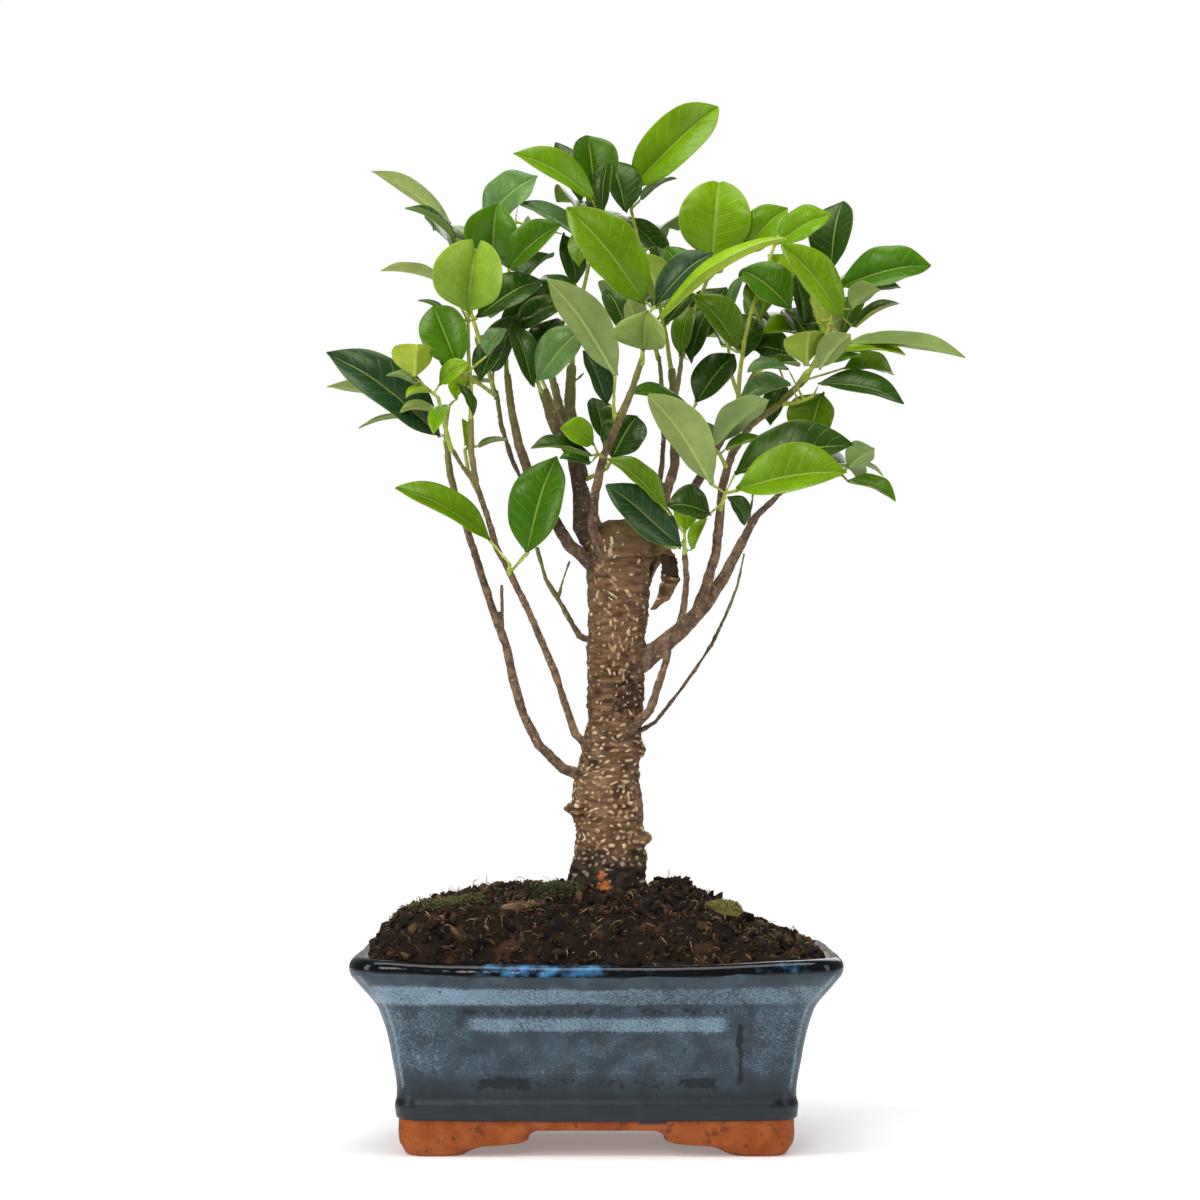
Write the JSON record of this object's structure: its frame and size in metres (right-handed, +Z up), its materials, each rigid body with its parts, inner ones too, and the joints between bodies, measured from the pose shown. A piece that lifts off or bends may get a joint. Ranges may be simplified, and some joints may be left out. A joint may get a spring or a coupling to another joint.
{
  "type": "potted bonsai tree",
  "caption": "Small-leaved fig bonsai with a thick stump of a trunk and leafy branches, rooted in mounded peat with moss in a shallow rectangular glazed pot on low feet.",
  "frame": {"origin": "below the middle of the whole object's box, on the surface that the feet stand on", "axes": "+Z up; the pot's long front faces -Y; +X is to the right seen from the front"},
  "size_m": [0.2004, 0.15, 0.3318],
  "materials": {
    "glaze": "glossy blue reactive glaze over red stoneware, bare clay on the feet and inside the rim",
    "screen_plastic": "black moulded mesh",
    "peat": "dark, damp, crumbly and fibrous",
    "moss": "soft dull green to straw pile",
    "chip": "torn tan bark",
    "trunk_bark": "grey-brown bark with raised cream lenticels, darker at the foot",
    "branch_bark": "smooth brown bark, paler and greener towards the tips",
    "leaf": "waxy and glossy on the upper side, pale and dull underneath"
  },
  "bodies": {
    "root": {"pot": "glaze", "drain_screen_left": "screen_plastic", "drain_screen_right": "screen_plastic", "soil": "peat", "moss_left": "moss", "moss_small": "moss", "moss_right": "moss", "bark_chip": "chip", "trunk": "trunk_bark", "branch_left_low": "branch_bark", "branch_left_middle": "branch_bark", "branch_left_high": "branch_bark", "twig_left": "branch_bark", "branch_centre_dark": "branch_bark", "branch_centre_pale": "branch_bark", "branch_back_left": "branch_bark", "branch_back_middle": "branch_bark", "branch_back_right": "branch_bark", "branch_right_low": "branch_bark", "twig_right": "branch_bark", "shoot_cup": "leaf", "shoot_far_left": "leaf", "shoot_left_fold": "leaf", "shoot_left_inner": "leaf", "shoot_left_crest": "leaf", "shoot_green_pair": "leaf", "shoot_thin_left": "leaf", "shoot_left_streak": "leaf", "shoot_inner_pair": "leaf", "shoot_top_middle": "leaf", "shoot_front_fan": "leaf", "shoot_top_right": "leaf", "shoot_round_leaf": "leaf", "shoot_right_bough": "leaf", "shoot_right_arch": "leaf", "shoot_right_fan": "leaf", "shoot_right_glossy": "leaf", "shoot_right_inner": "leaf", "shoot_low_dark": "leaf", "shoot_low_outer": "leaf", "shoot_stump_side": "leaf", "shoot_middle_right": "leaf", "shoot_brown_side": "leaf", "shoot_middle_low": "leaf", "shoot_middle_dark": "leaf", "shoot_middle_front": "leaf", "shoot_back_left": "leaf", "shoot_back_low_left": "leaf", "shoot_back_middle": "leaf", "shoot_back_right": "leaf", "shoot_back_low_right": "leaf"}
  },
  "joints": []
}
